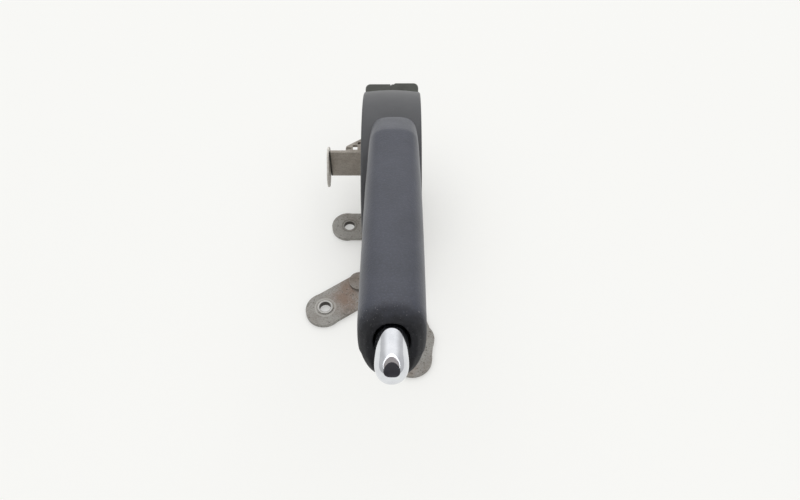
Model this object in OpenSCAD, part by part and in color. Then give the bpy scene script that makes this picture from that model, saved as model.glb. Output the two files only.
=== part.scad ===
// Parking brake lever for a car, in millimetres, +Z up, +Y towards the front of the car.
// The origin is on the mounting plane, straight below the lever's pivot.

/* [Base] */
// thickness of the base plate
plate_t = 4; // [2:0.5:5]
// diameter of each mounting hole
hole_d = 9; // [6.5:0.5:10]
// front-left hole, sideways
fl_x = -55; // [-65:1:-48]
// front-left hole, lengthways
fl_y = -97.7; // [-105:0.1:-85]
// end radius of the front-left tab
fl_r = 14.5; // [12:0.5:18]
// rear-left hole, sideways
rl_x = -38.8; // [-48:0.1:-34]
// rear-left hole, lengthways
rl_y = -16.6; // [-22:0.1:-8]
// end radius of the rear-left tab
rl_r = 13.3; // [11:0.1:16]
// front-right hole, sideways
fr_x = 13.5; // [8:0.5:16]
// front-right hole, lengthways
fr_y = -141.5; // [-150:0.5:-130]
// end radius of the front-right tab
fr_r = 15.5; // [13:0.5:18]
// height of the collar round the front-left hole
collar_h = 0.9; // [0.3:0.1:1.5]
// left side of the base's spine
spine_x0 = -25; // [-27:0.5:-23]
// right side of the base's spine
spine_x1 = 21; // [20.5:0.5:24]
// rear end of the base's spine
spine_y0 = -88; // [-92:1:-84]
// front end of the base's spine
spine_y1 = 28; // [26:1:34]

/* [Uprights] */
// thickness of each upright
upright_t = 2.5; // [2:0.5:3.5]
// radius of the upright around the pivot
upright_r = 18; // [15:0.5:20]
// inside radius of the foot's bend
bend_r = 3; // [2:0.5:4]
// radius of the rivets
rivet_r = 2.5; // [2:0.25:2.75]

/* [Pivot] */
// height of the pivot axis
pivot_z = 42; // [40:1:48]
// radius of the pivot pin
pivot_r = 6; // [5:0.25:7]
// outer radius of each pivot bush
bush_r = 8; // [7.5:0.25:9]
// travel of the lever in degrees
lever_travel = 40; // [30:1:45]

/* [Lever arm] */
// inside width of the lever channel
arm_in_w = 9.2; // [9:0.1:11]
// sheet thickness of the lever channel
arm_t = 2; // [1.5:0.25:3]
// height of the channel inside the grip
arm_h = 22; // [18:0.5:24]
// gap between a cheek and its upright
side_gap = 0.6; // [0.5:0.1:1.2]
// radius of the cheek around the pivot
cheek_r = 16; // [14:0.5:18]
// rise of the switch cam on the cheek
cam_rise = 4; // [2:0.5:4.5]
// radius of the cable pin in the cheeks
cable_r = 4; // [3.5:0.25:4.5]
// step down to each cable seat
cable_step = 0.5; // [0.25:0.25:1]
// distance from the tooth tips in to the cable pin
cable_drop = 13; // [11:0.5:15]
// direction from the pivot to the cable pin
cable_polar = 100; // [96:1:104]
// free reach of the cable pin at each side
cable_reach = 17; // [14:0.5:20]

/* [Ratchet and pawl] */
// thickness of the ratchet plate
ratchet_t = 5; // [4:0.5:5.5]
// radius at the tooth tips
ratchet_r = 46; // [44:0.5:48]
// tooth height
tooth_h = 2.6; // [2:0.1:3]
// tooth pitch in degrees
tooth_pitch = 3.2; // [2.8:0.1:4]
// number of teeth
tooth_count = 11; // [8:1:12]
// direction from the pivot to the pawl's nose
nose_polar = 145; // [142:0.5:148]
// height of the pawl's hinge above the tooth tips
pawl_rise = 8; // [7.5:0.5:10]
// direction from the pivot to the pawl's hinge
pawl_polar = 125; // [123:0.5:127]
// radius of the pawl pin
pawl_pin_r = 3; // [2.5:0.25:3.25]
// thickness of the pawl
pawl_t = 4.8; // [4:0.2:5]
// wire diameter of the pawl spring
pawl_wire_d = 0.7; // [0.5:0.05:0.75]

/* [Grip] */
// tilt of the grip, nose up
grip_tilt = 12; // [9:0.5:15]
// nose of the grip axis, lengthways
grip_y = -208; // [-215:1:-200]
// nose of the grip axis, height
grip_z = 157; // [150:1:165]
// greatest width of the grip
grip_w = 38.5; // [35:0.5:42]
// height of the seam below the grip axis
seam_z = -8; // [-10:0.5:-6]
// inset of the underside at the seam
seam_inset = 0.6; // [0.2:0.1:1]

/* [Button and rod] */
// diameter of the push button
button_d = 18.6; // [17:0.2:19]
// diameter of the opening in the nose
opening_d = 20.8; // [20:0.2:22]
// outer diameter of the button sleeve
sleeve_d = 22.4; // [21.5:0.1:23.5]
// reach of the button out of the nose
button_out = 28; // [24:0.5:30]
// length of the button's rounded end
bullet_l = 16; // [12:0.5:18]
// travel of the push button
button_travel = 6; // [4:0.5:7]
// diameter of the release rod
rod_d = 5; // [4:0.25:5.5]
// wire diameter of the return spring
wire_d = 0.9; // [0.6:0.1:1.1]
// turns of the return spring
spring_turns = 8; // [6:1:10]

/* [Sector cover] */
// height of the cover's outside above the tooth tips
cover_rise = 28.4; // [27:0.1:30]
// rise of its crown from side to middle
crown = 1.6; // [1:0.1:3]
// inner radius of its side walls
cover_in_r = 53; // [51:0.5:56]
// wall thickness of the sector cover
cover_t = 2.5; // [2:0.25:3]
// radius along its outer edges
cover_edge = 1.8; // [1:0.1:2.4]
// left side of the sector cover
cover_x0 = -24.5; // [-27:0.5:-22]
// right side of the sector cover
cover_x1 = 20.5; // [19:0.5:23]
// front end of the sector cover in degrees
cover_a0 = 15; // [12:1:20]
// rear end of the sector cover in degrees
cover_a1 = 162; // [155:1:165]
// thickness of the ribs inside the cover, in degrees
rib_turn = 1.2; // [1:0.1:2]
// radius of the cover screws
screw_r = 2; // [1.5:0.25:2.25]
// height of the left flap above the cover
left_flap_h = 6.8; // [5:0.1:9]
// height of the right flap above the cover
right_flap_h = 7.6; // [5:0.1:9]

/* [Stay bracket] */
// sheet thickness of the stay bracket
stay_t = 2.5; // [2:0.25:3]
// thickness of its end flange
flange_t = 1.6; // [1.4:0.1:2.4]
// far side of the end flange
stay_x = -54.8; // [-58:0.1:-50]
// front to back place of the strip
stay_y = 12; // [11.5:0.5:14]
// lower edge of the strip
stay_z0 = 37.5; // [34:0.5:42]
// upper edge of the strip
stay_z1 = 66; // [64:0.5:68]
// hole in the end flange
stay_hole_d = 7; // [5:0.5:9]

/* [Warning switch] */
// radius of the switch plunger
plunger_r = 1.5; // [1.2:0.1:1.6]
// width of the switch body
switch_w = 10.9; // [10:0.1:11.2]
// length of the switch body
switch_l = 20; // [17:0.5:24]
// height of the switch body
switch_h = 16; // [13:0.5:18]

/* [Clearances] */
// radial clearance of turning and sliding fits
run_c = 0.05; // [0.02:0.01:0.09]
// radial clearance of fixed fits
fix_c = 0.02; // [0.01:0.01:0.04]
// free gap between parts that pass
pass_gap = 0.3; // [0.25:0.05:0.5]

/* [Hidden] */
$fn = 48;
// overlap that joins two shapes of one part
lap = 0.01;
tilt_c = cos(grip_tilt);
tilt_s = sin(grip_tilt);
cheek_in = arm_in_w / 2;
cheek_out = cheek_in + arm_t;
up_in = cheek_out + side_gap;
up_out = up_in + upright_t;
// base: tab ends as seen from their holes, and the rivets of the feet
tab_step = 0.4;
fl_end = [-0.9, -1.5];
fl_turn = 34;
rl_end = [-1.5, 0.2];
fr_lobe = [3.2, 16];
fr_lobe_r = 14.3;
fr_root = [-14, 17.5];
collar_w = 1.6;
foot_z = plate_t + upright_t;
foot_y0 = spine_y0 + 4;
foot_y1 = spine_y1;
foot_lobe = [-28.5, -74];
foot_lobe_r = 8.2;
rivet_head = rivet_r + 1.3;
rivet_dome = 1.6;
right_rivet_x = up_out + bend_r + rivet_head + 0.4;
left_rivet_x = -(up_out + bend_r + rivet_head + 1.5);
rivet_front_y = -66;
rivet_rear_y = 16;
ratchet_rivet_dist = 27;
ratchet_rivet_polar = [-45, 225];
ratchet_ear = 6;
pin_head_r = pivot_r + 2.5;
pin_head_t = 3.5;
// lever channel
half_h = arm_h / 2;
arm_y0 = 34;
arm_y1 = 188;
arm_nose = 3;
elbow_y = 158;
cam_r = cheek_r + cam_rise;
cam_lead = 24;
// button, sleeve, rod and its spring
button_r = button_d / 2;
rod_r = rod_d / 2;
opening_r = opening_d / 2;
sleeve_r = sleeve_d / 2;
sleeve_y0 = 7;
sleeve_y1 = arm_y0 - 1;
button_in = arm_y0 - button_travel - 2;
rod_y0 = button_in - 12;
collar_y = arm_y0 + 2;
collar_t = 2.5;
collar_r = cheek_in - 0.4;
guide_y = 70;
guide_l = 10;
guide2_y = 146;
guide2_l = 8;
coil_r = collar_r - wire_d / 2;
coil_gap = 0.1;
// sector cover and flaps
cover_r = ratchet_r + cover_rise;
cover_w = cover_x1 - cover_x0;
cover_mid = (cover_x0 + cover_x1) / 2;
crown_r = (cover_w * cover_w / 4 + crown * crown) / (2 * crown);
pawl_dist = ratchet_r + pawl_rise;
cable_dist = ratchet_r - cable_drop;
screw_a = [pawl_dist + 10, 104];
screw_b = [pawl_dist + 12, 127];
screw_head = screw_r + 2;
screw_sink = 2;
post_r = 4.5;
slot_ease = 6;
slot_deep = 12;
rib_polar = [40, 64, 88, 146];
rib_deep = 8;
flap_a0 = 24;
flap_mid = 31;
flap_a1 = 34;
flap_round = 4;
flap_edge = 0.9;
inner_round = 2.2;
flap_half = 1;
// stay bracket
stay_y0 = stay_y - stay_t / 2;
stay_y1 = stay_y + stay_t / 2;
stay_rivet_y = 24;
stay_rivet_z = [48, 57];
stay_tab_z = [44.5, 61];
stay_tab_l = 17;
flange_c = [stay_y - 4.1, 51.7];
flange_turn = 40;
flange_half = 5.5;
flange_r = 11;
stay_hole_c = [stay_y - 9.5, 48.25];
groove = 1.2;
gusset_x0 = -39.7;
gusset_x1 = -up_out - 2.6;
gusset_y = 27;
gusset_step = 4.3;
// switch
switch_x1 = up_in - pass_gap;
switch_x0 = switch_x1 - switch_w;
switch_y0 = cam_r + 7;
switch_screw_r = screw_r - 0.5;
switch_screw_c = [switch_y0 + 13, pivot_z - 5];
switch_snout = 2;
plunger_x = cheek_in + 0.6;
plunger_l = 16;
blade_w = 5.8;
blade_t = 0.8;
blade_in = 4.5;
blade_l = 12;

// A point of the grip's own plane (along, up) in the side view (Y, Z).
function gp(y, z) = [grip_y + y * tilt_c + z * tilt_s, grip_z - y * tilt_s + z * tilt_c];
// A side view point in the grip's own plane.
function gl(p) = [
    (p[0] - grip_y) * tilt_c - (p[1] - grip_z) * tilt_s,
    (p[0] - grip_y) * tilt_s + (p[1] - grip_z) * tilt_c
];
// A side view point from the pivot, and the direction of a side view point as seen from the pivot.
function pv(r, a) = [r * cos(a), pivot_z + r * sin(a)];
function polar(p) = atan2(p[1] - pivot_z, p[0]);

// An outline with rounded corners: each point is given with its corner radius.
round_steps = 6;
function unit(v) = v / norm(v);
function flat(p) = [p[0], p[1]];
function corner(a, b, c, r) =
    let (u = unit(a - b))
    let (w = unit(c - b))
    let (half = acos(u * w) / 2)
    let (mid = b + unit(u + w) * r / sin(half))
    let (p = b + u * r / tan(half) - mid)
    let (q = b + w * r / tan(half) - mid)
    let (a0 = atan2(p[1], p[0]))
    let (turn = atan2(cross(p, q), p * q))
    [for (i = [0 : round_steps])
        let (a = a0 + turn * i / round_steps)
        mid + r * [cos(a), sin(a)]];
function rounded(pts) =
    let (n = len(pts))
    [for (i = [0 : n - 1])
        each pts[i][2] == 0
            ? [flat(pts[i])]
            : corner(flat(pts[(i + n - 1) % n]), flat(pts[i]), flat(pts[(i + 1) % n]), pts[i][2])];
// A side view point with a corner radius.
function with_r(p, r) = [p[0], p[1], r];

slot_a0 = polar(gp(arm_y1, half_h - arm_nose)) - slot_ease;
slot_a1 = polar(gp(elbow_y, -half_h)) + slot_ease;
pawl_c = pv(pawl_dist, pawl_polar);
pawl_l = gl(pawl_c);
pawl_half = 3.5;
pawl_top = 1;
pawl_hub_r = 6.5;
boss_r = 5.5;
spigot_r = 4;
rod_end = pawl_l[0] - pawl_half - pass_gap;
spring_pin_r = 1.5;
spring_pin_c = pv(pawl_dist + 4.4, pawl_polar - 16);

// Side view shape drawn out from one X to another.
module yz(x0, x1) {
    translate([x0, 0, 0])
        rotate([90, 0, 90])
            linear_extrude(x1 - x0)
                children();
}

// A bar along X at a side view point.
module xbar(p, r, x0, x1) {
    translate([x0, p[0], p[1]])
        rotate([0, 90, 0])
            cylinder(r = r, h = x1 - x0);
}

// Anything drawn in the grip's frame: y along the grip, z up.
module in_grip() {
    translate([0, grip_y, grip_z])
        rotate([-grip_tilt, 0, 0])
            children();
}

// A bar along the grip axis.
module gbar(r, y0, y1) {
    translate([0, y0, 0])
        rotate([-90, 0, 0])
            cylinder(r = r, h = y1 - y0);
}

// A turned shape about the pivot axis: the profile is (radius, X).
module turned(a0, a1) {
    translate([0, 0, pivot_z])
        rotate([90, 0, 90])
            rotate([0, 0, a0])
                rotate_extrude(angle = a1 - a0, $fn = 120)
                    children();
}

// Base plate: a spine with three tabs.
module base_outline() {
    translate([spine_x0, spine_y0])
        square([spine_x1 - spine_x0, spine_y1 - spine_y0]);
    translate([fl_x + fl_end[0], fl_y + fl_end[1]])
        rotate(fl_turn) {
            circle(r = fl_r);
            translate([0, tab_step - fl_r])
                square([(spine_x0 - fl_x) / cos(fl_turn) + fl_r, 2 * (fl_r - tab_step)]);
        }
    translate([rl_x + rl_end[0], rl_y + rl_end[1]]) {
        circle(r = rl_r);
        translate([0, tab_step - rl_r])
            square([spine_x0 - rl_x + rl_r, 2 * (rl_r - tab_step)]);
    }
    translate([fr_x, fr_y])
        circle(r = fr_r);
    translate([fr_x + fr_lobe[0], fr_y + fr_lobe[1]])
        circle(r = fr_lobe_r);
    polygon([
        [fr_x - fr_r + tab_step, fr_y], [fr_x + fr_r - tab_step, fr_y],
        [fr_x + fr_lobe[0] + fr_lobe_r - tab_step, fr_y + fr_lobe[1]],
        [fr_root[1], spine_y0 + 2], [fr_root[0], spine_y0 + 2]
    ]);
}

module base_plate() {
    color("#959490")
        difference() {
            union() {
                linear_extrude(plate_t)
                    base_outline();
                translate([fl_x, fl_y, plate_t - lap])
                    cylinder(r = hole_d / 2 + collar_w, h = collar_h + lap);
            }
            for (p = [[fl_x, fl_y], [rl_x, rl_y], [fr_x, fr_y]])
                translate([p[0], p[1], -1])
                    cylinder(d = hole_d, h = plate_t + collar_h + 2);
            for (x = [left_rivet_x, right_rivet_x])
                for (y = [rivet_front_y, rivet_rear_y])
                    translate([x, y, -1])
                        cylinder(r = rivet_r + fix_c, h = plate_t + 2);
        }
}

// Side view outline of an upright above its bend.
module upright_outline() {
    polygon(rounded([
        [foot_y0, foot_z + bend_r - lap, 0], [foot_y0, 17, 4], [-58, 21, 12], [-32, 28, 14],
        [1 - upright_r, pivot_z + 6, 0], [upright_r - 1, pivot_z + 6, 0],
        [upright_r + 2, pivot_z + upright_r, 2], [34, pivot_z + upright_r, 6], [50, 54, 5], [50, 34, 5],
        [34, 22, 6], [foot_y1, foot_z + bend_r - lap, 0]
    ]));
    translate([0, pivot_z])
        circle(r = upright_r);
}

// Right-hand upright with a bent foot that reaches to X foot_x.
module upright_body(foot_x) {
    foot_l = foot_y1 - foot_y0;
    bend_out = bend_r + upright_t;
    difference() {
        union() {
            yz(up_in, up_out)
                upright_outline();
            translate([up_out + bend_r, foot_y1, foot_z + bend_r])
                rotate([90, 0, 0])
                    linear_extrude(foot_l)
                        intersection() {
                            difference() {
                                circle(r = bend_out);
                                circle(r = bend_r);
                            }
                            translate([-2 * bend_out, -2 * bend_out])
                                square([2 * bend_out, 2 * bend_out + lap]);
                        }
            translate([up_out + bend_r - lap, foot_y0, plate_t])
                cube([foot_x - up_out - bend_r, foot_l, upright_t]);
        }
        xbar([0, pivot_z], pivot_r + fix_c, 0, 2 * up_out);
        for (a = ratchet_rivet_polar)
            xbar(pv(ratchet_rivet_dist, a), rivet_r + fix_c, 0, 2 * up_out);
    }
}

// Rivet holes in a foot.
module foot_holes(x) {
    for (y = [rivet_front_y, rivet_rear_y])
        translate([x, y, plate_t - 1])
            cylinder(r = rivet_r + fix_c, h = upright_t + 2);
}

module left_upright() {
    color("#8d8a86")
        difference() {
            union() {
                mirror([1, 0, 0])
                    upright_body(-spine_x0);
                translate([foot_lobe[0], foot_lobe[1], plate_t])
                    cylinder(r = foot_lobe_r, h = upright_t);
            }
            foot_holes(left_rivet_x);
            for (z = stay_rivet_z)
                xbar([stay_rivet_y, z], rivet_r + fix_c, -2 * up_out, 0);
        }
}

module right_upright() {
    color("#8d8a86")
        difference() {
            upright_body(spine_x1);
            foot_holes(right_rivet_x);
            xbar(switch_screw_c, switch_screw_r + fix_c, 0, 2 * up_out);
        }
}

// Rivet through an upright's foot and the base plate.
module foot_rivet(x, y) {
    low = 0.2;
    top = foot_z - low;
    color("#a09c96")
        translate([x, y, low])
            rotate_extrude()
                polygon([
                    [0, 0], [rivet_r, 0], [rivet_r, top], [rivet_head, top],
                    [rivet_head - 0.4, top + rivet_dome / 2], [rivet_r, top + rivet_dome - 0.2],
                    [0, top + rivet_dome]
                ]);
}

module left_rivet_front() { foot_rivet(left_rivet_x, rivet_front_y); }
module left_rivet_rear() { foot_rivet(left_rivet_x, rivet_rear_y); }
module right_rivet_front() { foot_rivet(right_rivet_x, rivet_front_y); }
module right_rivet_rear() { foot_rivet(right_rivet_x, rivet_rear_y); }

// Saw teeth: steep towards the front, so the pawl holds against the cable.
land = 6;
land_end = 156;
root_ease = 0.25;
neck_r = pivot_r + 6;
waist_r = 24;
heel = 16;
function tooth_polar(i) = nose_polar - land - tooth_pitch * i;

module ratchet_outline() {
    ear_r = ratchet_rivet_dist + ratchet_ear;
    rim_r = ratchet_r - tooth_h - 1;
    polygon(concat(
        [pv(ear_r, 218), pv(neck_r, 180)],
        [pv(ratchet_r - heel, land_end + 2), pv(ratchet_r - 4, land_end + 1)],
        [for (a = [land_end : -2 : nose_polar - land + 1]) pv(ratchet_r, a)],
        [for (i = [0 : tooth_count - 1])
            each [pv(ratchet_r, tooth_polar(i)), pv(ratchet_r - tooth_h, tooth_polar(i) - root_ease)]],
        [for (a = [tooth_polar(tooth_count - 1) - 3 : -4 : 46]) pv(rim_r, a)],
        [pv(waist_r, 40), pv(neck_r, 0), pv(ear_r, -38), pv(ear_r, -54), pv(waist_r, -90), pv(ear_r, 234)]
    ));
}

module ratchet_plate() {
    slot_r = cable_r + pass_gap;
    color("#77736e")
        difference() {
            union() {
                yz(-ratchet_t / 2, ratchet_t / 2)
                    ratchet_outline();
                for (a = ratchet_rivet_polar)
                    xbar(pv(ratchet_rivet_dist, a), rivet_r + 2, -up_in, up_in);
            }
            xbar([0, pivot_z], pivot_r + fix_c, -up_out, up_out);
            for (a = ratchet_rivet_polar)
                xbar(pv(ratchet_rivet_dist, a), rivet_r + fix_c, -up_out, up_out);
            turned(cable_polar - lever_travel, cable_polar)
                translate([cable_dist - slot_r, -up_out])
                    square([2 * slot_r, 2 * up_out]);
            for (a = [cable_polar - lever_travel, cable_polar])
                xbar(pv(cable_dist, a), slot_r, -up_out, up_out);
        }
}

// Headed rivet along X.
module side_rivet(p, r, head, x0, x1) {
    head_t = 1.5;
    color("#a09c96") {
        xbar(p, r, x0 - head_t, x1 + head_t);
        xbar(p, head, x0 - head_t, x0);
        xbar(p, head, x1, x1 + head_t);
    }
}

module ratchet_rivet(a) {
    side_rivet(pv(ratchet_rivet_dist, a), rivet_r, rivet_r + 1.8, -up_out, up_out);
}
module ratchet_rivet_front() { ratchet_rivet(ratchet_rivet_polar[0]); }
module ratchet_rivet_rear() { ratchet_rivet(ratchet_rivet_polar[1]); }

// Pivot pin with a head on the left and a clip groove on the right.
clip_t = 1.15;
clip_deep = 1;
module pivot_pin() {
    g0 = pin_head_t + 2 * up_out + pass_gap;
    g1 = g0 + clip_t + 0.15;
    color("#b0aca6")
        translate([-up_out - pin_head_t, 0, pivot_z])
            rotate([0, 90, 0])
                rotate_extrude()
                    polygon([
                        [0, 0], [pin_head_r - 1, 0], [pin_head_r, 1], [pin_head_r, pin_head_t],
                        [pivot_r, pin_head_t], [pivot_r, g0], [pivot_r - clip_deep, g0],
                        [pivot_r - clip_deep, g1], [pivot_r, g1],
                        [pivot_r, g1 + 0.9], [pivot_r - 1, g1 + 1.9], [0, g1 + 1.9]
                    ]);
}

module pivot_clip() {
    x0 = up_out + pass_gap + 0.05;
    color("#3c3a38")
        yz(x0, x0 + clip_t)
            translate([0, pivot_z])
                difference() {
                    circle(r = pivot_r + 3);
                    circle(r = pivot_r - clip_deep + fix_c);
                    translate([-2, -2 * pivot_r])
                        square([4, 2 * pivot_r]);
                }
}

// Stay: strip, slotted gusset and the tab that is riveted to the upright.
module stay_bracket() {
    strip_x0 = stay_x + flange_t + fix_c;
    color("#736e69")
        difference() {
            union() {
                translate([strip_x0, stay_y0, stay_z0])
                    cube([-up_out - strip_x0, stay_t, stay_z1 - stay_z0]);
                translate([0, 0, stay_z1 - stay_t])
                    linear_extrude(stay_t)
                        polygon(rounded([
                            [gusset_x0, stay_y1 - lap, 0], [gusset_x1, stay_y1 - lap, 0],
                            [gusset_x1, gusset_y, 0], [-26, gusset_y, 4],
                            [gusset_x0, stay_y1 + gusset_step, 2.5]
                        ]));
                translate([-up_out - stay_t, stay_y1 - lap, stay_tab_z[0]])
                    cube([stay_t, stay_tab_l, stay_tab_z[1] - stay_tab_z[0]]);
                translate([-up_out - stay_t, stay_y1 - lap, stay_tab_z[1] - 1])
                    cube([stay_t, gusset_y - stay_y1, stay_z1 - stay_tab_z[1] - stay_t + 1 + lap]);
            }
            for (z = stay_rivet_z)
                xbar([stay_rivet_y, z], rivet_r + fix_c, -2 * up_out, 0);
            // relief beside the flange, two pressed recesses and a slot in the gusset
            translate([strip_x0 - 1, stay_y0 - 1, stay_z1 - groove])
                cube([groove + 1, stay_t + 2, groove + 1]);
            translate([gusset_x0 + 0.6, stay_y1 + 0.8, stay_z1 - groove])
                cube([4.2, 2.4, 2 * groove]);
            translate([gusset_x0 + 5.7, stay_y1 + 0.8, stay_z1 - stay_t - 1])
                cube([3.8, 4.9, stay_t + 2]);
            translate([gusset_x0 + 9.7, stay_y1 + 6.6, stay_z1 - 1.5 * groove])
                cube([8, 2.4, 3 * groove]);
        }
}

// Oval flange welded to the end of the strip.
module stay_flange() {
    color("#736e69")
        difference() {
            yz(stay_x, stay_x + flange_t)
                translate(flange_c)
                    rotate(flange_turn) {
                        translate([-flange_half, tab_step - flange_r])
                            square([2 * flange_half, 2 * (flange_r - tab_step)]);
                        for (x = [-flange_half, flange_half])
                            translate([x, 0])
                                circle(r = flange_r);
                    }
            xbar(stay_hole_c, stay_hole_d / 2, stay_x - 1, stay_x + flange_t + 1);
        }
}

module stay_rivet(z) {
    side_rivet([stay_rivet_y, z], rivet_r, rivet_head, -up_out - stay_t, -up_in);
}
module stay_rivet_top() { stay_rivet(stay_rivet_z[1]); }
module stay_rivet_low() { stay_rivet(stay_rivet_z[0]); }

// Warning lamp switch between the uprights.
module switch_body() {
    blade_slot = blade_t + 0.2;
    color("#2b2c2e")
        difference() {
            union() {
                translate([switch_x0, switch_y0, pivot_z - switch_h / 2])
                    cube([switch_w, switch_l, switch_h]);
                translate([plunger_x, switch_y0 - switch_snout, pivot_z])
                    rotate([-90, 0, 0])
                        cylinder(r = plunger_r + 0.5, h = switch_snout + 1);
            }
            translate([plunger_x, switch_y0 - switch_snout - 1, pivot_z])
                rotate([-90, 0, 0])
                    cylinder(r = plunger_r + run_c, h = plunger_l - 1);
            xbar(switch_screw_c, switch_screw_r + fix_c, switch_x1 - 6, switch_x1 + 1);
            translate([-blade_slot / 2, switch_y0 + switch_l - blade_in - 0.5, pivot_z - blade_w / 2 - 0.1])
                cube([blade_slot, blade_in + 1.5, blade_w + 0.2]);
        }
}

module switch_screw() {
    color("#a09c96") {
        xbar(switch_screw_c, switch_screw_r, switch_x1 - 5.5, up_out + 1);
        xbar(switch_screw_c, 2 * switch_screw_r, up_out, up_out + 2);
    }
}

module switch_terminal() {
    color("#c2a24e")
        translate([-blade_t / 2, switch_y0 + switch_l - blade_in, pivot_z - blade_w / 2])
            cube([blade_t, blade_l, blade_w]);
}

// Round-nosed rod, drawn up from zero.
module nosed_rod(r, l) {
    cylinder(r = r, h = l - r);
    translate([0, 0, l - r])
        rotate_extrude()
            intersection() {
                circle(r = r);
                translate([0, -lap])
                    square([r, r + lap]);
            }
}

module switch_plunger() {
    color("#d8d4c8")
        translate([plunger_x, cam_r + pass_gap + plunger_l, pivot_z])
            rotate([90, 0, 0])
                nosed_rod(plunger_r, plunger_l);
}

// Side view of one cheek of the lever arm, with the cam that works the switch.
module cheek_outline() {
    polygon(rounded([
        with_r(gp(arm_y0, -half_h), 4), with_r(gp(elbow_y, -half_h), 20), with_r(pv(cheek_r - 1, 168), 0),
        [0, pivot_z, 0], with_r(pv(cheek_r - 1, 25), 0), with_r(gp(arm_y1, half_h - arm_nose), 2),
        with_r(gp(arm_y1 - arm_nose, half_h), 2), with_r(gp(arm_y0, half_h), 4)
    ]));
    translate([0, pivot_z])
        circle(r = cheek_r - tab_step);
    polygon(concat(
        [[0, pivot_z]],
        [for (a = [-cam_lead : 6 : -6]) pv(cheek_r - 1 + (cam_rise + 1) * (a + cam_lead) / cam_lead, a)],
        [for (a = [0 : 2 : lever_travel]) pv(cam_r - cam_rise * a / lever_travel, a)],
        [pv(cheek_r - 1, lever_travel + 6)]
    ));
}

module lever_arm() {
    roof_in = 0.5;
    color("#9a9a98")
        difference() {
            union() {
                yz(-cheek_out, -cheek_in)
                    cheek_outline();
                yz(cheek_in, cheek_out)
                    cheek_outline();
                in_grip()
                    translate([-cheek_in - roof_in, arm_y0 + 5, half_h - arm_t - 0.2])
                        cube([2 * (cheek_in + roof_in), arm_y1 - arm_y0 - 10, arm_t]);
            }
            xbar([0, pivot_z], bush_r + fix_c, -up_out, up_out);
            xbar(pawl_c, pawl_pin_r + fix_c, -up_out, up_out);
            xbar(spring_pin_c, spring_pin_r + fix_c, -up_out, up_out);
            xbar(pv(cable_dist, cable_polar), cable_r + fix_c, -up_out, up_out);
            for (s = [screw_a, screw_b])
                xbar(pv(s[0], s[1]), screw_r + fix_c, -up_out, up_out);
        }
}

// Flanged bush in the right-hand cheek.
module bush_body() {
    x0 = ratchet_t / 2 + pass_gap;
    color("#b08a4a")
        translate([x0, 0, pivot_z])
            rotate([0, 90, 0])
                difference() {
                    union() {
                        cylinder(r = bush_r, h = up_in - x0 - pass_gap);
                        cylinder(r = bush_r + 3, h = cheek_in - x0);
                    }
                    translate([0, 0, -1])
                        cylinder(r = pivot_r + run_c, h = up_in + 2);
                }
}

module left_bush() { mirror([1, 0, 0]) bush_body(); }
module right_bush() { bush_body(); }

module pawl_pin() { side_rivet(pawl_c, pawl_pin_r, pawl_pin_r + 1.5, -cheek_out, cheek_out); }
module spring_pin() { side_rivet(spring_pin_c, spring_pin_r, spring_pin_r + 1.2, -cheek_out, cheek_out); }

// Cable pin, stepped down at each side to the seat of a cable eye, with a clip groove near each end.
cable_shoulder = cheek_out + 1.4;
seat_r = cable_r - cable_step;
groove_x = [1.4, 2.4];
groove_r = seat_r - 0.7;
cable_half = [
    [cable_r, cable_shoulder], [seat_r, cable_shoulder],
    [seat_r, cable_reach - groove_x[1]], [groove_r, cable_reach - groove_x[1]],
    [groove_r, cable_reach - groove_x[0]], [seat_r, cable_reach - groove_x[0]],
    [seat_r, cable_reach - 0.5], [seat_r - 0.5, cable_reach], [0, cable_reach]
];
module cable_pin() {
    c = pv(cable_dist, cable_polar);
    color("#a09c96")
        translate([0, c[0], c[1]])
            rotate([0, 90, 0])
                rotate_extrude()
                    polygon(concat(
                        cable_half,
                        [for (i = [len(cable_half) - 1 : -1 : 0]) [cable_half[i][0], -cable_half[i][1]]]
                    ));
}

// Block inside the channel that carries the rod.
module guide_body(y, l) {
    color("#d9d6cc")
        in_grip()
            difference() {
                translate([-cheek_in + fix_c, y, 1 - half_h])
                    cube([2 * (cheek_in - fix_c), l, arm_h - arm_t - 1.3]);
                gbar(rod_r + run_c, y - 1, y + l + 1);
            }
}

module rod_guide() { guide_body(guide_y, guide_l); }
module rod_guide_front() { guide_body(guide2_y, guide2_l); }

// Grip stations: along, share of the half width, height up, height down, slant, squareness.
stations = [
    [-3.0, 0.750, 11.6, 19.5, 0.42, 2.5], [-0.5, 0.900, 14.0, 21.6, 0.42, 2.5],
    [3, 0.985, 16.0, 22.8, 0.40, 2.5], [9, 1.0, 17.0, 23.2, 0.34, 2.5], [18, 1.0, 17.4, 22.6, 0.22, 2.5],
    [34, 1.0, 17.4, 21.0, 0.10, 2.5], [60, 1.0, 17.3, 19.6, 0, 2.5], [90, 0.995, 17.2, 18.8, 0, 2.5],
    [115, 0.985, 17.2, 18.6, 0, 2.55], [138, 0.965, 17.4, 19.4, 0, 2.65], [156, 0.945, 17.9, 23.0, 0, 2.8],
    [170, 0.925, 18.7, 30.0, 0, 2.95], [174, 0.920, 18.8, 32.0, 0, 3], [182, 0.905, 16.9, 36.0, 0, 3],
    [190, 0.880, 14.7, 38.0, 0, 2.95], [196, 0.850, 13.0, 38.0, 0, 2.9], [201, 0.795, 11.2, 37.0, 0, 2.85],
    [204.5, 0.690, 8.2, 36.0, 0, 2.8]
];
grip_sides = 36;

function sgn_pow(v, p) = (v < 0 ? -1 : 1) * pow(abs(v), p);
function ring_point(s, j, inset) =
    let (a = 360 * j / grip_sides)
    let (x = (grip_w / 2 * s[1] - inset) * sgn_pow(cos(a), 2 / s[5]))
    let (z = (sin(a) > 0 ? s[2] : s[3] - inset) * sgn_pow(sin(a), 2 / s[5]))
    [x, s[0] + s[4] * z, z];

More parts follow.
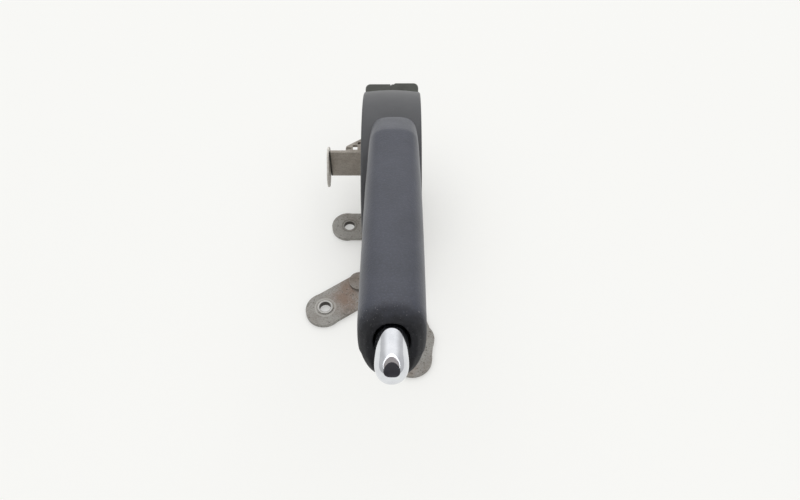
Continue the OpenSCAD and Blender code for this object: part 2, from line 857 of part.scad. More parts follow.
// Skin of n rings with m points each, closed at both ends.
function skin_faces(n, m) = concat(
    [[for (j = [0 : m - 1]) j]],
    [for (i = [0 : n - 2]) for (j = [0 : m - 1])
        let (k = (j + 1) % m)
        each [[i * m + j, (i + 1) * m + j, (i + 1) * m + k], [i * m + j, (i + 1) * m + k, i * m + k]]],
    [[for (j = [m - 1 : -1 : 0]) (n - 1) * m + j]]
);

module grip_solid(inset) {
    polyhedron(
        points = [for (s = stations) for (j = [0 : grip_sides - 1]) ring_point(s, j, inset)],
        faces = skin_faces(len(stations), grip_sides)
    );
}

// Space inside the grip for the channel, the sleeve, the button and the cover.
module grip_hollow() {
    half = cheek_out + fix_c;
    in_grip() {
        translate([-half, arm_y0 - 0.5, -half_h - fix_c])
            cube([2 * half, arm_y1 - arm_y0 + 1, arm_h + 2 * fix_c]);
        translate([-half, elbow_y - 8, -60])
            cube([2 * half, arm_y1 - elbow_y + 19.5, 60 + half_h - arm_nose + fix_c]);
        gbar(opening_r, -40, 20);
        gbar(sleeve_r + fix_c, sleeve_y0, sleeve_y1 + 0.5);
    }
    xbar([0, pivot_z], cover_r + pass_gap, -60, 60);
}

module grip() {
    color("#5f6269")
        difference() {
            in_grip()
                intersection() {
                    grip_solid(0);
                    translate([-60, -60, seam_z])
                        cube([120, 320, 80]);
                }
            grip_hollow();
        }
}

module grip_underside() {
    color("#54575d")
        difference() {
            in_grip()
                intersection() {
                    grip_solid(seam_inset);
                    translate([-60, -60, seam_z - 80.1])
                        cube([120, 320, 80]);
                }
            grip_hollow();
        }
}

module button_sleeve() {
    color("#8b8d90")
        in_grip()
            difference() {
                gbar(sleeve_r, sleeve_y0 + 0.1, sleeve_y1);
                gbar(button_r + run_c, sleeve_y0 - 1, sleeve_y1 + 1);
            }
}

// Height of the cover's crowned top at X x, and points along it from x0 to x1.
crown_steps = 8;
function crown_at(x) = cover_r - crown_r + sqrt(crown_r * crown_r - (x - cover_mid) * (x - cover_mid));
function crown_line(x0, x1, lift) = [
    for (i = [0 : crown_steps])
        let (x = x0 + (x1 - x0) * i / crown_steps)
        [crown_at(x) + lift, x]
];
// Points of a quarter round in (radius, X), from the side wall (0) to the top (90).
function shoulder(c, r, side) = [for (a = [0 : 15 : 89]) [c[0] + r * sin(a), c[1] + side * r * cos(a)]];

module cover_profile() {
    x0 = cover_x0 + cover_edge;
    x1 = cover_x1 - cover_edge;
    edge_c = crown_at(x0) - cover_edge;
    right = shoulder([edge_c, x1], cover_edge, 1);
    difference() {
        polygon(concat(
            [[cover_in_r, cover_x0]],
            shoulder([edge_c, x0], cover_edge, -1),
            crown_line(x0, x1, 0),
            [for (i = [len(right) - 1 : -1 : 0]) right[i]],
            [[cover_in_r, cover_x1]]
        ));
        polygon(concat(
            [[cover_in_r - 1, cover_x0 + cover_t]],
            crown_line(cover_x0 + cover_t, cover_x1 - cover_t, -cover_t),
            [[cover_in_r - 1, cover_x1 - cover_t]]
        ));
    }
}

// Curved cover with a crowned top, ribs inside, and posts for its screws.
module sector_cover() {
    slot_half = cheek_out + pass_gap;
    rib_x0 = cover_x0 + cover_t - 0.5;
    rib_x1 = cover_x1 - cover_t + 0.5;
    color("#696c70")
        difference() {
            union() {
                turned(cover_a0, cover_a1)
                    cover_profile();
                for (a = rib_polar)
                    turned(a, a + rib_turn)
                        polygon(concat(
                            [[cover_r - rib_deep, rib_x0]],
                            crown_line(rib_x0, rib_x1, 0.5 - cover_t),
                            [[cover_r - rib_deep, rib_x1]]
                        ));
                for (s = [screw_a, screw_b]) {
                    xbar(pv(s[0], s[1]), post_r, cover_x0 + 1, -cheek_out - fix_c);
                    xbar(pv(s[0], s[1]), post_r, cheek_out + fix_c, cover_x1 - 1);
                }
            }
            turned(slot_a0, slot_a1)
                translate([cover_r - slot_deep, -slot_half])
                    square([slot_deep + 8, 2 * slot_half]);
            for (s = [screw_a, screw_b]) {
                xbar(pv(s[0], s[1]), screw_r + fix_c, -60, 60);
                xbar(pv(s[0], s[1]), screw_head + 0.2, -60, cover_x0 + screw_sink);
                xbar(pv(s[0], s[1]), screw_head + 0.2, cover_x1 - screw_sink, 60);
            }
        }
}

// Profile of a rubber flap in (radius, X): it sits on the crown; left_r and right_r round its top.
module flap_profile(x0, x1, h, left_r, right_r) {
    top = cover_r + h;
    right = shoulder([top - right_r, x1 - right_r], right_r, 1);
    line = crown_line(x0, x1, fix_c);
    polygon(concat(
        [for (i = [crown_steps : -1 : 0]) line[i]],
        shoulder([top - left_r, x0 + left_r], left_r, -1),
        [[top, x0 + left_r], [top, x1 - right_r]],
        [for (i = [len(right) - 1 : -1 : 0]) right[i]]
    ));
}

// The two flaps overlap by a tongue each, one behind the other.
flap_gap = pass_gap / 2;
flap_ease = 0.15;
split_x = -2.2;
tongue = flap_half - flap_gap;
left_tongue_h = left_flap_h - flap_ease;
right_tongue_h = left_flap_h - flap_ease;
module left_flap() {
    color("#2c2d2b") {
        turned(flap_a0, flap_a1)
            flap_profile(cover_x0 + 0.4, split_x - flap_half - flap_gap, left_flap_h, flap_round, flap_edge);
        turned(flap_a0, flap_mid - flap_ease)
            flap_profile(split_x - 2 * flap_half, split_x + tongue, left_tongue_h, 0.3, flap_edge);
    }
}

module right_flap() {
    color("#2c2d2b") {
        turned(flap_a0, flap_a1)
            flap_profile(split_x + flap_half + flap_gap, cover_x1 - 1, right_flap_h, inner_round, flap_round);
        turned(flap_mid + flap_ease, flap_a1)
            flap_profile(split_x - tongue, split_x + 2 * flap_half, right_tongue_h, flap_edge, 0.3);
    }
}

// Cover screw through a post into the cheek.
module cover_screw(s, side) {
    x1 = (side < 0 ? -cover_x0 : cover_x1) - screw_sink;
    color("#77736e")
        mirror([side < 0 ? 1 : 0, 0, 0]) {
            xbar(pv(s[0], s[1]), screw_r, cheek_in + 0.2, x1 + 1);
            xbar(pv(s[0], s[1]), screw_head, x1, x1 + screw_sink - 0.2);
        }
}

module cover_screw_left_top() { cover_screw(screw_a, -1); }
module cover_screw_left_rear() { cover_screw(screw_b, -1); }
module cover_screw_right_top() { cover_screw(screw_a, 1); }
module cover_screw_right_rear() { cover_screw(screw_b, 1); }

// Bullet shaped button, bored for the rod.
bullet_steps = 14;
fullness = [4, 2.4];
bullet = [
    for (i = [0 : bullet_steps])
        let (t = sin(90 * i / bullet_steps))
        [button_r * pow(1 - pow(t, fullness[0]), 1 / fullness[1]), bullet_l - button_out - bullet_l * t]
];
module push_button() {
    color("#d5d8dc")
        in_grip()
            rotate([-90, 0, 0])
                rotate_extrude()
                    polygon(concat(
                        [[rod_r + fix_c, button_in]],
                        [[button_r - 0.5, button_in], [button_r, button_in - 0.5]],
                        bullet,
                        [[0, rod_y0], [rod_r + fix_c, rod_y0]]
                    ));
}

// Straight rod with a round end that meets the pawl.
module release_rod() {
    color("#b0aca6")
        in_grip()
            translate([0, rod_y0 + 0.2, 0])
                rotate([-90, 0, 0])
                    nosed_rod(rod_r, rod_end - rod_y0 - 0.2);
}

module spring_collar() {
    color("#a09c96")
        in_grip()
            difference() {
                gbar(collar_r, collar_y, collar_y + collar_t);
                gbar(rod_r + fix_c, collar_y - 1, collar_y + collar_t + 1);
            }
}

// Coil spring around the rod.
coil_steps = 14;
coil_sides = 6;
coil_y0 = collar_y + collar_t + wire_d / 2 + coil_gap;
coil_l = guide_y - coil_gap - wire_d / 2 - coil_y0;
function coil_point(i, j) =
    let (a = 360 * i / coil_steps)
    let (b = 360 * j / coil_sides)
    let (r = coil_r + wire_d / 2 * cos(b))
    [r * sin(a), coil_y0 + coil_l * i / (coil_steps * spring_turns) + wire_d / 2 * sin(b), r * cos(a)];
module return_spring() {
    n = coil_steps * spring_turns;
    color("#8a8884")
        in_grip()
            polyhedron(
                points = [for (i = [0 : n]) for (j = [0 : coil_sides - 1]) coil_point(i, j)],
                faces = skin_faces(n + 1, coil_sides)
            );
}

// Pawl: nose over the ratchet, arm up to the rod.
module pawl_outline() {
    polygon([
        gp(pawl_l[0] - pawl_half, pawl_l[1]), gp(pawl_l[0] - pawl_half, pawl_top),
        gp(pawl_l[0] + pawl_half, pawl_top), gp(pawl_l[0] + pawl_half, pawl_l[1])
    ]);
    translate(gp(pawl_l[0], pawl_top))
        circle(r = pawl_half);
    translate(pawl_c)
        circle(r = pawl_hub_r);
    polygon([
        pv(ratchet_r + pass_gap + 0.05, nose_polar),
        pv(ratchet_r + tooth_h + pass_gap, nose_polar - tooth_pitch),
        [pawl_c[0] + 4.6, pawl_c[1] - 4.4], [pawl_c[0] - 4.6, pawl_c[1] + 4.4],
        pv(ratchet_r + 7, nose_polar + 2), pv(ratchet_r + 5, nose_polar + 0.8)
    ]);
}

module pawl() {
    color("#6e6a64")
        difference() {
            union() {
                yz(-pawl_t / 2, pawl_t / 2)
                    pawl_outline();
                xbar(pawl_c, boss_r, pass_gap - cheek_in, 0);
                xbar(pawl_c, spigot_r, 0, cheek_in - pass_gap);
            }
            xbar(pawl_c, pawl_pin_r + run_c, -up_out, up_out);
        }
}

// Spring wire from one side view point to another at X x.
module wire(p, q, x) {
    a = atan2(q[1] - p[1], q[0] - p[0]);
    translate([x, p[0], p[1]])
        rotate([a - 90, 0, 0])
            cylinder(d = leg_d, h = norm(q - p), $fn = 24);
}

// Torsion spring on the pawl's spigot: one leg over the spring pin, one hooked before the pawl's arm.
turn_r = spigot_r + 0.4 + pawl_wire_d / 2;
turn_x = pawl_t / 2 + 0.15 + pawl_wire_d / 2;
leg_d = 0.8 * pawl_wire_d;
hook_z = 14;
hook_y = pawl_half + pass_gap + leg_d / 2;
leg_lift = spring_pin_r + fix_c + leg_d / 2;
leg_out = 3;
module pawl_spring() {
    far_x = turn_x + 0.9 * pawl_wire_d;
    span = spring_pin_c - pawl_c;
    lean = atan2(span[1], span[0]) + acos((turn_r - leg_lift) / norm(span));
    side = [cos(lean), sin(lean)];
    leg = spring_pin_c + leg_lift * side;
    hook = gp(pawl_l[0] + hook_y, pawl_l[1] + hook_z);
    color("#8a8884") {
        translate([0, pawl_c[0], pawl_c[1]])
            rotate([0, 90, 0])
                rotate_extrude()
                    for (x = [turn_x, far_x])
                        translate([turn_r, x])
                            circle(d = pawl_wire_d, $fn = 24);
        wire(pawl_c + turn_r * side, leg + leg_out * [side[1], -side[0]], turn_x);
        wire(gp(pawl_l[0] + hook_y, pawl_l[1] + 2), hook, far_x);
        xbar(hook, leg_d / 2, -1.5, far_x);
        translate([far_x, hook[0], hook[1]])
            sphere(d = pawl_wire_d, $fn = 24);
    }
}

base_plate();
left_upright();
right_upright();
left_rivet_front();
left_rivet_rear();
right_rivet_front();
right_rivet_rear();
ratchet_plate();
ratchet_rivet_front();
ratchet_rivet_rear();
pivot_pin();
pivot_clip();
stay_bracket();
stay_flange();
stay_rivet_top();
stay_rivet_low();
switch_body();
switch_screw();
switch_terminal();
switch_plunger();
lever_arm();
left_bush();
right_bush();
pawl_pin();
spring_pin();
cable_pin();
rod_guide();
rod_guide_front();
grip();
grip_underside();
button_sleeve();
sector_cover();
left_flap();
right_flap();
cover_screw_left_top();
cover_screw_left_rear();
cover_screw_right_top();
cover_screw_right_rear();
push_button();
release_rod();
spring_collar();
return_spring();
pawl();
pawl_spring();
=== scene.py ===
import math

import bmesh
import bpy
import numpy as np
from mathutils import Matrix, Vector


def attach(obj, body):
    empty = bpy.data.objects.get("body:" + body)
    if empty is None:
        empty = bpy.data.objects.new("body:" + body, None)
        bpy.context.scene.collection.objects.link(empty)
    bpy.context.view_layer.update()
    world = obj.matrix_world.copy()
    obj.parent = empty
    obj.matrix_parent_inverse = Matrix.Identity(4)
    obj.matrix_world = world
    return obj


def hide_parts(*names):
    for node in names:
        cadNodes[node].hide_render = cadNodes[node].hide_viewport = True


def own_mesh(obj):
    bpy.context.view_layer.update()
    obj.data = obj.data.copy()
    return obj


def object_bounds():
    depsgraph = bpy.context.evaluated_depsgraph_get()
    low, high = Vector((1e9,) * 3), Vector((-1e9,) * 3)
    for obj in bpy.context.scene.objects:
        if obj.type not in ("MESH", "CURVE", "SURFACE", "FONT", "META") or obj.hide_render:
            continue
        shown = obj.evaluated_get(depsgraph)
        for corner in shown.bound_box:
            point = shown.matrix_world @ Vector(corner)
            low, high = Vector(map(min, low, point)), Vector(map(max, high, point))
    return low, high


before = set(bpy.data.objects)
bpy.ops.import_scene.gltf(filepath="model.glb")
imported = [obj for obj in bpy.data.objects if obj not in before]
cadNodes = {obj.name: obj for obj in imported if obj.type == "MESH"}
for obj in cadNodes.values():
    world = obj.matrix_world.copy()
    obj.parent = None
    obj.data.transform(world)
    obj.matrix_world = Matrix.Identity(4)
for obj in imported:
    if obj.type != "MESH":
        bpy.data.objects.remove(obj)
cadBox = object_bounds()
scene = bpy.context.scene
mm = 0.001
print("frame loaded,", len(cadNodes), "nodes")

# camera, floor and light
shot = {
    "place": (4.4, -402.1, 518.1),  # mm
    "tipDown": 55,  # degrees below the horizon
    "lens": 33.75,
    "sensor": 36,
    "nearClip": 0.01,  # m
}
# lengths in metres unless said
studio = {
    "floor": (243, 243, 241),
    "floorSpread": 4,  # levels from the table's darker clouds to its lighter ones
    "floorCloud": 400,  # mm
    "floorRough": 0.6,
    "floorSize": 60.0,
    "floorDrop": 0.0002,  # below the object
    "floorLift": 0.74,  # share of plain white seen on the table
    "floorWhite": (255, 255, 252),
    "nearReach": 0.13,  # how far from the object the table is shaded
    "nearSpan": (0.35, 1.0),  # how open the table is, close to the object and clear of it
    "nearLift": 0.45,  # share of the lift left close to the object
    "nearSamples": 8,
    "frontFill": 0.36,  # light from the camera's side
    "backFill": 1.15,  # light from behind the object
    "frontToBack": (-0.9, 0.35),  # y of the direction from the one to the other
    "topFill": 0.95,
    "topSpan": (0.5, 0.95),  # z of the direction where the top's light starts and is full
    "sideFill": 0.26,  # share of light left at the far left and right
    "sideSpan": (0.04, 0.5),  # square of the direction's x where the sides start and are full
    "glossWhite": 0.45,  # share of the white background that gloss and glass see beside the sky
    "cardSides": 48,
    "cardRough": 0.9,
    "lampPlace": (0.15, 0.55, 1.7),
    "lampAim": (0, -0.05, 0.05),
    "lampSize": (2.4, 1.8),
    "lampPower": 6.0,
}
# oval cards in front of the nose, seen only in gloss; tilt in degrees from lying flat
cards = {
    "darkCard": {
        "colour": (60, 57, 63), "place": (0.018, -0.329, 0.236), "size": (0.172, 0.24),
        "tilt": 50, "glow": 0,
    },
    "greyCard": {
        "colour": (196, 188, 188), "place": (0.004, -0.345, 0.43), "size": (0.41, 0.325),
        "tilt": 0, "glow": 0,
    },
    "brightCard": {
        "colour": (255, 255, 255), "place": (0.004, -0.33, 0.44), "size": (0.47, 0.38),
        "tilt": 0, "glow": 1.4,
    },
}


def paint(red, green, blue):  # picture levels, 0 to 255, to Blender's linear colour
    def straight(level):
        level = level / 255
        return level / 12.92 if level <= 0.04045 else ((level + 0.055) / 1.055) ** 2.4

    return (straight(red), straight(green), straight(blue), 1.0)


class Wire:  # one socket of a node tree; maths on it adds Math nodes
    def __init__(self, tree, socket=None):
        self.tree = tree
        self.socket = socket

    def add(self, kind, settings=None, sockets=None, out=0):
        node = self.tree.nodes.new(kind)
        for name, value in (settings or {}).items():
            setattr(node, name, value)
        for name, value in (sockets or {}).items():
            if isinstance(value, Wire):
                self.tree.links.new(value.socket, node.inputs[name])
            else:
                node.inputs[name].default_value = value
        return Wire(self.tree, node.outputs[out] if len(node.outputs) else None)

    def maths(self, operation, first, second):
        return self.add("ShaderNodeMath", {"operation": operation}, {0: first, 1: second})

    def __add__(self, other):
        return self.maths("ADD", self, other)

    def __radd__(self, other):
        return self.maths("ADD", other, self)

    def __sub__(self, other):
        return self.maths("SUBTRACT", self, other)

    def __rsub__(self, other):
        return self.maths("SUBTRACT", other, self)

    def __mul__(self, other):
        return self.maths("MULTIPLY", self, other)

    def __rmul__(self, other):
        return self.maths("MULTIPLY", other, self)


def ramp(value, low, high, start=0.0, end=1.0):  # soft step between two levels
    return value.add(
        "ShaderNodeMapRange",
        {"interpolation_type": "SMOOTHSTEP"},
        {"Value": value, "From Min": low, "From Max": high, "To Min": start, "To Max": end},
    )


def tint(share, first, second):  # colour between two, by a share from 0 to 1
    return share.add(
        "ShaderNodeMix", {"data_type": "RGBA"}, {0: share, 6: first, 7: second}, out=2
    )


def cloud(place, size, detail=3.0, rough=0.55):  # noise with lumps of that size in mm
    return place.add(
        "ShaderNodeTexNoise",
        None,
        {"Vector": place, "Scale": 1 / size, "Detail": detail, "Roughness": rough},
    )


def pebbles(place, size, soft=0.4):  # leather-like cells of that size in mm
    return place.add(
        "ShaderNodeTexVoronoi",
        {"feature": "SMOOTH_F1"},
        {"Vector": place, "Scale": 1 / size, "Smoothness": soft},
    )


def newFinish(name):  # empty material, its tree and the place on the piece in mm
    material = bpy.data.materials.new(name)
    material.use_nodes = True
    material.node_tree.nodes.clear()
    tree = Wire(material.node_tree)
    spot = tree.add("ShaderNodeTexCoord", out="Object")
    place = tree.add("ShaderNodeVectorMath", {"operation": "SCALE"}, {0: spot, "Scale": 1 / mm})
    return material, tree, place


def finishWith(tree, sockets):  # the one shader of a finish
    shader = tree.add("ShaderNodeBsdfPrincipled", None, sockets)
    tree.add("ShaderNodeOutputMaterial", None, {"Surface": shader})


def dents(tree, height, depth, strength):  # bump with a depth in mm
    return tree.add(
        "ShaderNodeBump", None, {"Height": height, "Distance": depth * mm, "Strength": strength}
    )


def rayKinds(tree):  # flags for rays of the camera, and for rays off gloss or through glass
    camera = tree.add("ShaderNodeLightPath", out="Is Camera Ray")
    gloss = tree.add("ShaderNodeLightPath", out="Is Glossy Ray")
    glass = tree.add("ShaderNodeLightPath", out="Is Transmission Ray")
    return camera, gloss.maths("MAXIMUM", gloss, glass)


def makeCamera():
    lens = bpy.data.cameras.new("shotCamera")
    lens.lens = shot["lens"]
    lens.sensor_width = shot["sensor"]
    lens.clip_start = shot["nearClip"]
    camera = bpy.data.objects.new("shotCamera", lens)
    camera.location = Vector(shot["place"]) * mm
    camera.rotation_euler = (math.radians(90 - shot["tipDown"]), 0, 0)
    scene.collection.objects.link(camera)
    scene.camera = camera


def makeFloor():
    half = studio["floorSize"] / 2
    mesh = bpy.data.meshes.new("floor")
    corners = [(-half, -half, 0), (half, -half, 0), (half, half, 0), (-half, half, 0)]
    mesh.from_pydata(corners, [], [(0, 1, 2, 3)])
    floor = bpy.data.objects.new("floor", mesh)
    floor.location.z = cadBox[0].z - studio["floorDrop"]
    material, tree, place = newFinish("paleTable")
    shade = cloud(place, studio["floorCloud"], 2)
    lighter = [level + studio["floorSpread"] for level in studio["floor"]]
    pale = tint(shade, paint(*studio["floor"]), paint(*lighter))
    rough = studio["floorRough"]
    table = tree.add("ShaderNodeBsdfPrincipled", None, {"Base Color": pale, "Roughness": rough})
    white = tree.add("ShaderNodeEmission", None, {"Color": paint(*studio["floorWhite"])})
    camera, gloss = rayKinds(tree)
    seen = camera.maths("MAXIMUM", camera, gloss)
    # ambient occlusion keeps less white lift close to the object: painted shade on the table round it
    clear = tree.add(
        "ShaderNodeAmbientOcclusion",
        {"samples": studio["nearSamples"]},
        {"Distance": studio["nearReach"]},
        out="AO",
    )
    lift = ramp(clear, *studio["nearSpan"], studio["nearLift"], 1.0) * studio["floorLift"]
    both = tree.add("ShaderNodeMixShader", None, {0: seen * lift, 1: table, 2: white})
    tree.add("ShaderNodeOutputMaterial", None, {"Surface": both})
    mesh.materials.append(material)
    scene.collection.objects.link(floor)


def makeCard(name, card):
    mesh = bpy.data.meshes.new(name)
    shape = bmesh.new()
    bmesh.ops.create_circle(shape, cap_ends=True, radius=1, segments=studio["cardSides"])
    shape.to_mesh(mesh)
    shape.free()
    holder = bpy.data.objects.new(name, mesh)
    holder.location = card["place"]
    holder.rotation_euler = (math.radians(card["tilt"]), 0, 0)
    holder.scale = (*card["size"], 1)
    holder.visible_camera = False
    holder.visible_diffuse = False
    holder.visible_shadow = False
    material, tree = newFinish(name)[:2]
    finishWith(tree, {
        "Base Color": paint(*card["colour"]),
        "Roughness": studio["cardRough"],
        "Emission Color": paint(*card["colour"]),
        "Emission Strength": card["glow"],
    })
    mesh.materials.append(material)
    scene.collection.objects.link(holder)


def makeLight():
    world = bpy.data.worlds.new("studio")
    scene.world = world
    world.use_nodes = True
    world.node_tree.nodes.clear()
    tree = Wire(world.node_tree)
    camera, gloss = rayKinds(tree)
    seen = camera + gloss * studio["glossWhite"]
    way = tree.add("ShaderNodeTexCoord", out="Generated")
    lengthways = tree.add("ShaderNodeSeparateXYZ", None, {0: way}, out="Y")
    height = tree.add("ShaderNodeSeparateXYZ", None, {0: way}, out="Z")
    sideways = tree.add("ShaderNodeSeparateXYZ", None, {0: way}, out="X")
    aside = ramp(sideways * sideways, *studio["sideSpan"], 1.0, studio["sideFill"])
    around = ramp(lengthways, *studio["frontToBack"], studio["frontFill"], studio["backFill"]) * aside
    sky = around + ramp(height, *studio["topSpan"]) * (studio["topFill"] - around)
    back = tree.add("ShaderNodeBackground", None, {
        "Color": (1, 1, 1, 1),
        "Strength": sky + seen * (1 - sky),
    })
    tree.add("ShaderNodeOutputWorld", None, {"Surface": back})
    lamp = bpy.data.lights.new("softbox", "AREA")
    lamp.shape = "RECTANGLE"
    lamp.size, lamp.size_y = studio["lampSize"]
    lamp.energy = studio["lampPower"]
    holder = bpy.data.objects.new("softbox", lamp)
    holder.visible_glossy = False  # no hard-edged box in the chrome
    holder.location = studio["lampPlace"]
    aim = Vector(studio["lampAim"]) - holder.location
    holder.rotation_euler = aim.to_track_quat("-Z", "Y").to_euler()
    scene.collection.objects.link(holder)


scene.view_settings.view_transform = "Standard"
makeCamera()
makeFloor()
for name, card in cards.items():
    makeCard(name, card)
makeLight()
print("camera, floor and light set")


# finishes: what all plastics share, then what all steels share
plastic = {
    "fine": 0.35,  # size of the fine grain beside the cells
    "dustAndGlintSpan": (0.66, 0.76),
    "wornSpan": (0.3, 0.7),
    "pitSpan": (0.0, 0.55),
    "dustAndGlintRough": 0.15,
    "plainDustAndGlint": 0.15,  # dust and painted glints on most of the grip
    "noseDustAndGlint": 3,  # dust and painted glints where the darker nose fades out
    "noseRough": 0.18,
    "cellHeight": 0.8,
    "fineHeight": 0.35,
    "coatRough": 0.22,
}
steel = {
    "highlightRimSamples": 6,
    "highlightRimSpan": (0.02, 0.22),
    "rustLevel": 5,  # mm above the table
    "rustCore": 0.25,  # share of a spot's reach that is fully rusted
    "rustGrit": 0.25,
    "rustSpan": (0.35, 0.7),
    "ringStart": (-0.2, 0.1),  # mm about the inner radius
    "ringEnd": 0.5,  # mm inside the outer radius
    "patchSpan": (0.42, 0.66),
    "gritSpan": (0.35, 0.75),
    "gritShare": 0.35,
    "gritRough": 0.22,
    "speckSpan": (0.6, 0.7),
    "speckRough": 0.15,
    "stainSpan": (0.55, 0.75),
    "patchHeight": 0.6,
}


def darkerNose(tree, place, look):  # 1 on the darker nose, 0 elsewhere
    lengthways = tree.add("ShaderNodeSeparateXYZ", None, {0: place}, out="Y")
    uneven = lengthways + look["darkerNoseSpread"] * (cloud(place, look["darkerNoseCloud"], 3) - 0.5)
    return (1 - ramp(uneven, *look["darkerNose"])) * look["darkerNoseShare"]


def mouldedPlastic(name, look):
    material, tree, place = newFinish(name)
    cells = pebbles(place, look["grain"])
    fine = cloud(place, look["grain"] * plastic["fine"], 2)
    worn = cloud(place, look["patch"], 3)
    # light specks in the colour: dust, and on the grip painted glints of the leather grain
    dustAndGlint = ramp(cloud(place, look["dustAndGlint"], 1, 0.5), *plastic["dustAndGlintSpan"])
    shade = tint(ramp(worn, *plastic["wornSpan"]), paint(*look["colour"]), paint(*look["second"]))
    pits = ramp(cells, *plastic["pitSpan"])
    rough = look["rough"] + look["roughSpread"] * (worn - 0.5) + plastic["dustAndGlintRough"] * dustAndGlint
    sheen = look["coat"]
    if "darkerNose" in look:
        nose = darkerNose(tree, place, look)
        shade = tint(nose, shade, paint(*look["darkerNoseColour"]))
        fading = nose * (1 - nose)
        dustAndGlint = dustAndGlint * (plastic["plainDustAndGlint"] + plastic["noseDustAndGlint"] * fading)
        rough = rough + plastic["noseRough"] * nose
        sheen = sheen * (1 - nose)
    shade = tint(pits * look["pitShare"], shade, paint(*look["pit"]))
    height = cells * plastic["cellHeight"] + fine * plastic["fineHeight"]
    finishWith(tree, {
        "Base Color": tint(dustAndGlint * look["dustAndGlintShare"], shade, paint(*look["dustAndGlintColour"])),
        "Roughness": rough,
        "Specular IOR Level": look["gloss"],
        "Coat Weight": sheen,
        "Coat Roughness": plastic["coatRough"],
        "Normal": dents(tree, height, look["depth"], look["bump"]),
    })
    return material


def highlightRimOf(tree, radius):  # 1 along edges, 0 on flats; it carries a painted highlight along the edges
    rounded = tree.add("ShaderNodeBevel", {"samples": steel["highlightRimSamples"]}, {"Radius": radius * mm})
    normal = tree.add("ShaderNodeNewGeometry", out="Normal")
    turn = tree.add(
        "ShaderNodeVectorMath", {"operation": "DOT_PRODUCT"}, {0: rounded, 1: normal}, out="Value"
    )
    return ramp(1 - turn, *steel["highlightRimSpan"])


def farFrom(place, spot):  # distance from a spot in mm
    return place.add(
        "ShaderNodeVectorMath", {"operation": "DISTANCE"}, {0: place, 1: spot}, out="Value"
    )


def rustMask(place, spots):  # 1 in the middle of each round spot (x, y, reach in mm)
    mask = None
    for x, y, reach in spots:
        far = farFrom(place, (x, y, steel["rustLevel"]))
        spot = 1 - ramp(far, steel["rustCore"] * reach, reach)
        mask = spot if mask is None else mask.maths("MAXIMUM", mask, spot)
    return mask


def ringMask(place, ring):  # 1 on a ring (x, y, inner and outer radius in mm), such as a bolt's mark; also used for the painted shade of a hole's wall
    x, y, inner, outer = ring
    flat = place.add("ShaderNodeVectorMath", {"operation": "MULTIPLY"}, {0: place, 1: (1, 1, 0)})
    far = farFrom(flat, (x, y, 0))
    before, after = steel["ringStart"]
    return ramp(far, inner + before, inner + after) * (1 - ramp(far, outer - steel["ringEnd"], outer))


def workedSteel(name, look):
    material, tree, place = newFinish(name)
    patch = cloud(place, look["patch"], 4, 0.6)
    grit = cloud(place, look["grit"], 2, 0.7)
    specks = ramp(cloud(place, look["speck"], 2, 0.6), *steel["speckSpan"])
    stains = ramp(cloud(place, look["stain"], 3, 0.6), *steel["stainSpan"])
    highlightRim = highlightRimOf(tree, look["highlightRim"])
    shade = tint(ramp(patch, *steel["patchSpan"]), paint(*look["colour"]), paint(*look["tarnish"]))
    shade = tint(ramp(grit, *steel["gritSpan"]) * steel["gritShare"], shade, paint(*look["grime"]))
    if "rustSpots" in look:
        rusty = ramp(patch + steel["rustGrit"] * grit, *steel["rustSpan"])
        rust = rustMask(place, look["rustSpots"]) * rusty
        shade = tint(rust * look["rustShare"], shade, paint(*look["rust"]))
    shade = tint(stains * look["stainShare"], shade, paint(*look["grime"]))
    shade = tint(specks * look["speckShare"], shade, paint(*look["grime"]))
    # painted highlight: the edges are lightened in the colour
    shade = tint(highlightRim * look["highlightRimShare"], shade, paint(*look["highlightColour"]))
    # painted highlight: a light ring on the collar round a bolt hole
    if "ring" in look:
        shade = tint(ringMask(place, look["ring"]), shade, paint(*look["ringColour"]))
    for *mark, colour in look.get("marks", ()):
        shade = tint(ringMask(place, mark) * look["markShare"], shade, paint(*colour))
    # painted shade: the walls of the bolt holes are darkened in the colour
    for x, y in look.get("shadedBores", ()):
        boreShade = ringMask(place, (x, y, 0, look["shadedBoreWall"]))
        shade = tint(boreShade, shade, paint(*look["boreShadeColour"]))
    # painted shade: a dark band across the strip where it meets the flange
    if "creaseShade" in look:
        sideways = tree.add("ShaderNodeSeparateXYZ", None, {0: place}, out="X")
        creaseShade = 1 - ramp(sideways, *look["creaseShade"])
        shade = tint(creaseShade, shade, paint(*look["creaseShadeColour"]))
    finishWith(tree, {
        "Base Color": shade,
        "Metallic": look["metal"],
        "Roughness": look["rough"] + steel["gritRough"] * (grit - 0.5) + steel["speckRough"] * specks,
        "Normal": dents(tree, grit + steel["patchHeight"] * patch, look["depth"], look["bump"]),
    })
    return material


def mirrorChrome(name, look):
    material, tree, place = newFinish(name)
    haze = cloud(place, look["haze"], 4, 0.6)
    wipe = cloud(place, look["wipe"], 2, 0.5)
    dull = ramp(haze, *look["dullSpan"])
    shade = tint(ramp(haze, *look["hazeSpan"]), paint(*look["colour"]), paint(*look["second"]))
    finishWith(tree, {
        "Base Color": shade,
        "Metallic": 1.0,
        "Roughness": look["rough"] + look["hazeRough"] * dull + look["wipeRough"] * wipe,
        "Normal": dents(tree, wipe, look["depth"], look["bump"]),
    })
    return material


